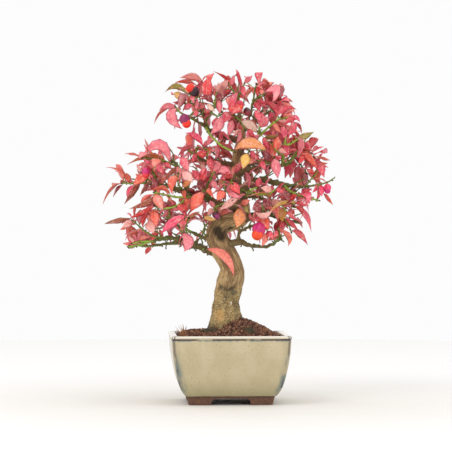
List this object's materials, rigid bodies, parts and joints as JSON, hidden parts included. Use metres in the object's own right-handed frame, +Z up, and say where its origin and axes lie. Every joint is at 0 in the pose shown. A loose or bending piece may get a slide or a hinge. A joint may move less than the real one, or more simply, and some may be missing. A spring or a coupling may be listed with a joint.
{
  "type": "euonymus bonsai",
  "caption": "Small deciduous bonsai tree with a curved trunk, pink autumn leaves and hanging fruit, growing in a square glazed pot on four feet.",
  "frame": {"origin": "under the middle of the whole object's box, on the surface that the pot's feet stand on", "axes": "+Z up; the pot's sides lie along X and Y; the tree's front faces about three degrees to the left of -Y"},
  "size_m": [0.1794, 0.1144, 0.2555],
  "materials": {
    "glazed_pot": "cream speckled glaze, bare brown clay at the feet",
    "mesh_plastic": "moulded",
    "clip_wire": "copper coloured",
    "soil": "loose clay granules",
    "bark": "rough mottled bark",
    "foliage": "autumn leaves on green twigs",
    "fruit": "satin skin",
    "moss": "cushion moss",
    "dry_grass": "dry"
  },
  "bodies": {
    "root": {"pot": "glazed_pot", "drainage_mesh": "mesh_plastic", "mesh_clip": "clip_wire", "soil": "soil", "trunk": "bark", "moss_left": "moss", "moss_right": "moss", "dry_grass": "dry_grass", "fruit_top_left": "fruit", "fruit_left_purple": "fruit", "fruit_top_crimson": "fruit", "fruit_top_brown": "fruit", "fruit_left_magenta": "fruit", "fruit_centre_plum": "fruit", "fruit_low_right": "fruit", "fruit_right_tip": "fruit", "shoot_low_left_tip": "foliage", "shoot_low_left_rise": "foliage", "shoot_low_left_long": "foliage", "shoot_low_left_front": "foliage", "shoot_low_left_under": "foliage", "shoot_left_tip": "foliage", "shoot_left_mid": "foliage", "shoot_left_upper": "foliage", "shoot_left_front": "foliage", "shoot_left_lime": "foliage", "shoot_top_left_out": "foliage", "shoot_top_left_low": "foliage", "shoot_top_left_high": "foliage", "shoot_top_mid_left": "foliage", "shoot_top_middle": "foliage", "shoot_top_right_round": "foliage", "shoot_top_right_lime": "foliage", "shoot_right_olive": "foliage", "shoot_top_front": "foliage", "shoot_upper_left": "foliage", "shoot_upper_twig": "foliage", "shoot_centre_orange": "foliage", "shoot_centre_spray": "foliage", "shoot_centre_red": "foliage", "shoot_coral": "foliage", "shoot_low_centre": "foliage", "shoot_trunk_leaf": "foliage", "shoot_right_centre": "foliage", "shoot_right_upper": "foliage", "shoot_right_tip": "foliage", "shoot_right_low": "foliage", "shoot_right_front": "foliage", "shoot_right_arch": "foliage", "shoot_low_right_pink": "foliage", "shoot_low_right_tip": "foliage", "shoot_low_right_mid": "foliage", "shoot_back_low_left": "foliage", "shoot_back_low": "foliage", "shoot_back_low_right": "foliage", "shoot_back_left": "foliage", "shoot_back_middle": "foliage", "shoot_back_right": "foliage", "shoot_back_top": "foliage", "shoot_back_top_right": "foliage"}
  },
  "joints": []
}
